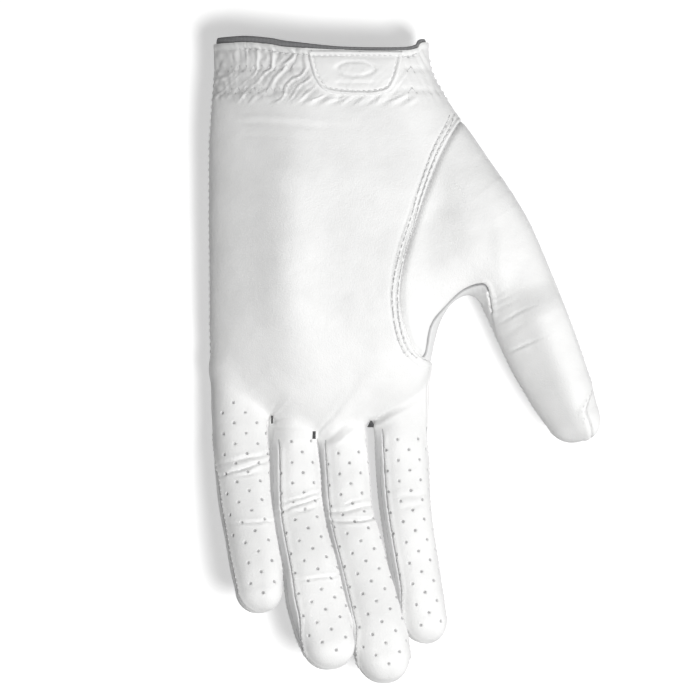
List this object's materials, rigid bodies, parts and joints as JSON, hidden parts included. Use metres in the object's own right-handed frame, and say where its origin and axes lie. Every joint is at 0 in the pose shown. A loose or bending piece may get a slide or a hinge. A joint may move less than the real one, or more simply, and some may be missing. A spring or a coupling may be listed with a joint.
{
  "type": "golf glove",
  "caption": "White leather left-hand golf glove, palm up, with bending finger and thumb stalls, set-in thumb, elastic cuff and hook-and-loop closure tab.",
  "frame": {"origin": "centre of the flat on which the back of the hand rests, under the middle of the palm", "axes": "+Z out of the palm, +Y towards the cuff, +X towards the thumb"},
  "size_m": [0.1372, 0.2258, 0.0351],
  "materials": {
    "palm_leather": "satin",
    "back_leather": "satin",
    "side_strip_leather": "matte",
    "patch_leather": "satin",
    "tab_leather": "satin",
    "tab_lining": "matte",
    "cuff_binding": "matte",
    "elastic": "matte",
    "hook_tape": "matte",
    "loop_tape": "matte",
    "thread": "matte",
    "label_tape": "satin"
  },
  "bodies": {
    "root": {"back_leather": "back_leather", "crotch_tacks": "thread", "cuff_binding_back_inner": "cuff_binding", "cuff_binding_back_outer": "cuff_binding", "cuff_binding_front": "cuff_binding", "loop_patch": "loop_tape", "palm_leather": "palm_leather", "size_label": "label_tape", "slit_binding": "cuff_binding", "tab_anchor": "tab_leather", "thumb_piece_back": "back_leather", "thumb_piece_front": "palm_leather", "thumb_web_gusset": "side_strip_leather", "wrist_elastic_lower": "elastic", "wrist_elastic_upper": "elastic", "wrist_patch": "patch_leather"},
    "closure_tab": {"hook_patch": "hook_tape", "tab_leather": "tab_leather", "tab_lining": "tab_lining"},
    "little_base": {"little_base_back": "back_leather", "little_base_front": "palm_leather", "little_base_inner_strip": "side_strip_leather"},
    "little_end": {"little_end_back": "back_leather", "little_end_front": "palm_leather", "little_end_inner_strip": "side_strip_leather"},
    "ring_base": {"ring_base_back": "back_leather", "ring_base_front": "palm_leather", "ring_base_inner_strip": "side_strip_leather", "ring_base_outer_strip": "side_strip_leather"},
    "ring_end": {"ring_end_back": "back_leather", "ring_end_front": "palm_leather", "ring_end_inner_strip": "side_strip_leather", "ring_end_outer_strip": "side_strip_leather"},
    "middle_base": {"middle_base_back": "back_leather", "middle_base_front": "palm_leather", "middle_base_inner_strip": "side_strip_leather", "middle_base_outer_strip": "side_strip_leather"},
    "middle_end": {"middle_end_back": "back_leather", "middle_end_front": "palm_leather", "middle_end_inner_strip": "side_strip_leather", "middle_end_outer_strip": "side_strip_leather"},
    "index_base": {"index_base_back": "back_leather", "index_base_front": "palm_leather", "index_base_outer_strip": "side_strip_leather"},
    "index_end": {"index_end_back": "back_leather", "index_end_front": "palm_leather", "index_end_outer_strip": "side_strip_leather"},
    "thumb_base": {"thumb_base_back": "back_leather", "thumb_base_front": "palm_leather"},
    "thumb_end": {"thumb_end_back": "back_leather", "thumb_end_front": "palm_leather"}
  },
  "joints": [
    {"name": "closure_tab_peel", "type": "hinge", "parent": "root", "child": "closure_tab", "pos_m": [0.018, 0.05975, 0.00215], "axis": [0, -1, 0], "range_deg": [0, 180]},
    {"name": "little_knuckle", "type": "hinge", "parent": "root", "child": "little_base", "pos_m": [-0.02962, -0.05895, 0.02127], "axis": [-0.9993, -0.0379, 0], "range_deg": [0, 65]},
    {"name": "little_middle_joint", "type": "hinge", "parent": "little_base", "child": "little_end", "pos_m": [-0.02918, -0.07373, 0.02258], "axis": [-0.9936, -0.1129, 0], "range_deg": [0, 75]},
    {"name": "ring_knuckle", "type": "hinge", "parent": "root", "child": "ring_base", "pos_m": [-0.01141, -0.06165, 0.01949], "axis": [-0.9992, -0.0392, 0], "range_deg": [0, 65]},
    {"name": "ring_middle_joint", "type": "hinge", "parent": "ring_base", "child": "ring_end", "pos_m": [-0.0107, -0.08611, 0.02093], "axis": [-0.9776, -0.2106, 0], "range_deg": [0, 75]},
    {"name": "middle_knuckle", "type": "hinge", "parent": "root", "child": "middle_base", "pos_m": [0.00588, -0.06306, 0.01819], "axis": [-0.9985, -0.0549, 0], "range_deg": [0, 65]},
    {"name": "middle_middle_joint", "type": "hinge", "parent": "middle_base", "child": "middle_end", "pos_m": [0.00712, -0.08957, 0.01969], "axis": [-0.971, -0.2391, 0], "range_deg": [0, 75]},
    {"name": "index_knuckle", "type": "hinge", "parent": "root", "child": "index_base", "pos_m": [0.02629, -0.06046, 0.0173], "axis": [-0.999, -0.0446, 0], "range_deg": [0, 65]},
    {"name": "index_middle_joint", "type": "hinge", "parent": "index_base", "child": "index_end", "pos_m": [0.02722, -0.08248, 0.01778], "axis": [-0.9889, -0.1487, 0], "range_deg": [0, 75]},
    {"name": "thumb_knuckle", "type": "hinge", "parent": "root", "child": "thumb_base", "pos_m": [0.05933, -0.0119, 0.0242], "axis": [-0.5986, -0.277, -0.7517], "range_deg": [0, 25]},
    {"name": "thumb_tip_joint", "type": "hinge", "parent": "thumb_base", "child": "thumb_end", "pos_m": [0.06823, -0.03349, 0.02506], "axis": [-0.5784, -0.3203, -0.7503], "range_deg": [0, 40]}
  ]
}
